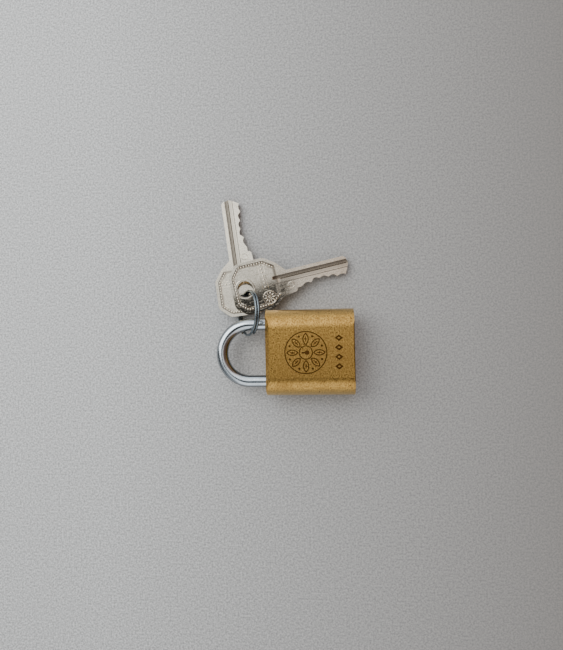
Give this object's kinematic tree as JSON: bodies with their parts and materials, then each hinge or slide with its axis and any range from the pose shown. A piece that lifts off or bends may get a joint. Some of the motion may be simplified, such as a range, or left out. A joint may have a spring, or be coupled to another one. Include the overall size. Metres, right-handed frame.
{
  "type": "padlock",
  "caption": "Small solid brass cylinder padlock, closed, with a round plated shackle and two flat keys on a split ring that hangs on the shackle.",
  "frame": {"origin": "middle of the body's flat back face, which rests on the table", "axes": "+X along the shackle legs towards the keyway, +Y across the legs towards the heel leg that carries the ring, +Z out of the engraved front face"},
  "size_m": [0.0495, 0.0712, 0.0148],
  "materials": {
    "brass_body": "satin extruded brass, fine grain along the width",
    "shackle_plating": "bright plated steel",
    "key_nickel": "worn nickel plating",
    "ring_steel": "dark zinc-plated wire",
    "plug_brass": "turned brass",
    "tumbler_brass": "turned brass",
    "cap_brass": "pressed in and ground flush",
    "cam_steel": "machined",
    "latch_steel": "machined",
    "pin_steel": "ground flush",
    "spring_steel": "drawn wire"
  },
  "bodies": {
    "lock_body": {"body": "brass_body", "shackle_spring": "spring_steel", "shackle_retaining_pin": "pin_steel", "plug_retaining_pin": "pin_steel", "latch_spring": "spring_steel", "latch_bore_plug": "cap_brass", "pin_chamber_plugs": "cap_brass", "pin_spring_1": "spring_steel", "pin_spring_2": "spring_steel", "pin_spring_3": "spring_steel", "pin_spring_4": "spring_steel", "pin_spring_5": "spring_steel"},
    "cylinder": {"cylinder_plug": "plug_brass", "plug_cam": "cam_steel"},
    "latch": {"latch_bolt": "latch_steel"},
    "shackle": {"shackle": "shackle_plating"},
    "split_ring": {"key_ring": "ring_steel"},
    "key_a": {"key_a": "key_nickel"},
    "key_b": {"key_b": "key_nickel"},
    "key_pin_1": {"key_pin_1": "tumbler_brass"},
    "driver_pin_1": {"driver_pin_1": "tumbler_brass"},
    "key_pin_2": {"key_pin_2": "tumbler_brass"},
    "driver_pin_2": {"driver_pin_2": "tumbler_brass"},
    "key_pin_3": {"key_pin_3": "tumbler_brass"},
    "driver_pin_3": {"driver_pin_3": "tumbler_brass"},
    "key_pin_4": {"key_pin_4": "tumbler_brass"},
    "driver_pin_4": {"driver_pin_4": "tumbler_brass"},
    "key_pin_5": {"key_pin_5": "tumbler_brass"},
    "driver_pin_5": {"driver_pin_5": "tumbler_brass"}
  },
  "joints": [
    {"name": "plug_turn", "type": "hinge", "parent": "lock_body", "child": "cylinder", "pos_m": [0, 0, 0.0065], "axis": [-1, 0, 0], "range_deg": [0, 90]},
    {"name": "latch_retract", "type": "slide", "parent": "lock_body", "child": "latch", "axis": [0, 1, 0], "range_m": [0, 0.0027], "deforming": ["latch_spring"]},
    {"name": "shackle_lift", "type": "slide", "parent": "lock_body", "child": "shackle", "axis": [-1, 0, 0], "range_m": [0, 0.0081], "deforming": ["shackle_spring"]},
    {"name": "ring_swing", "type": "hinge", "parent": "shackle", "child": "split_ring", "pos_m": [-0.018, 0.01, 0.0065], "axis": [1, 0, 0], "range_deg": [0, 70]},
    {"name": "key_a_swing", "type": "hinge", "parent": "split_ring", "child": "key_a", "pos_m": [-0.02285, 0.02286, 0.00548], "axis": [0.1343, -0.0976, 0.9861], "range_deg": [0, 60]},
    {"name": "key_b_swing", "type": "hinge", "parent": "split_ring", "child": "key_b", "pos_m": [-0.02382, 0.01844, 0.00239], "axis": [0.132, 0.045, 0.9902], "range_deg": [-20, 38]},
    {"name": "key_pin_1_drop", "type": "slide", "parent": "cylinder", "child": "key_pin_1", "axis": [0, -1, 0], "range_m": [-0.0024, 0]},
    {"name": "driver_pin_1_drop", "type": "slide", "parent": "lock_body", "child": "driver_pin_1", "axis": [0, -1, 0], "range_m": [-0.0024, 0], "deforming": ["pin_spring_1"]},
    {"name": "key_pin_2_drop", "type": "slide", "parent": "cylinder", "child": "key_pin_2", "axis": [0, -1, 0], "range_m": [-0.0015, 0]},
    {"name": "driver_pin_2_drop", "type": "slide", "parent": "lock_body", "child": "driver_pin_2", "axis": [0, -1, 0], "range_m": [-0.0015, 0], "deforming": ["pin_spring_2"]},
    {"name": "key_pin_3_drop", "type": "slide", "parent": "cylinder", "child": "key_pin_3", "axis": [0, -1, 0], "range_m": [-0.0016, 0]},
    {"name": "driver_pin_3_drop", "type": "slide", "parent": "lock_body", "child": "driver_pin_3", "axis": [0, -1, 0], "range_m": [-0.0016, 0], "deforming": ["pin_spring_3"]},
    {"name": "key_pin_4_drop", "type": "slide", "parent": "cylinder", "child": "key_pin_4", "axis": [0, -1, 0], "range_m": [-0.0019, 0]},
    {"name": "driver_pin_4_drop", "type": "slide", "parent": "lock_body", "child": "driver_pin_4", "axis": [0, -1, 0], "range_m": [-0.0019, 0], "deforming": ["pin_spring_4"]},
    {"name": "key_pin_5_drop", "type": "slide", "parent": "cylinder", "child": "key_pin_5", "axis": [0, -1, 0], "range_m": [-0.00245, 0]},
    {"name": "driver_pin_5_drop", "type": "slide", "parent": "lock_body", "child": "driver_pin_5", "axis": [0, -1, 0], "range_m": [-0.00245, 0], "deforming": ["pin_spring_5"]}
  ],
  "couplings": [
    {"joint": "latch_retract", "follows": "plug_turn", "m_per_rad": 0.0017106},
    {"joint": "shackle_lift", "follows": "plug_turn", "m_per_rad": 0.005093},
    {"joint": "driver_pin_1_drop", "follows": "key_pin_1_drop", "ratio": 1},
    {"joint": "driver_pin_2_drop", "follows": "key_pin_2_drop", "ratio": 1},
    {"joint": "driver_pin_3_drop", "follows": "key_pin_3_drop", "ratio": 1},
    {"joint": "driver_pin_4_drop", "follows": "key_pin_4_drop", "ratio": 1},
    {"joint": "driver_pin_5_drop", "follows": "key_pin_5_drop", "ratio": 1}
  ]
}
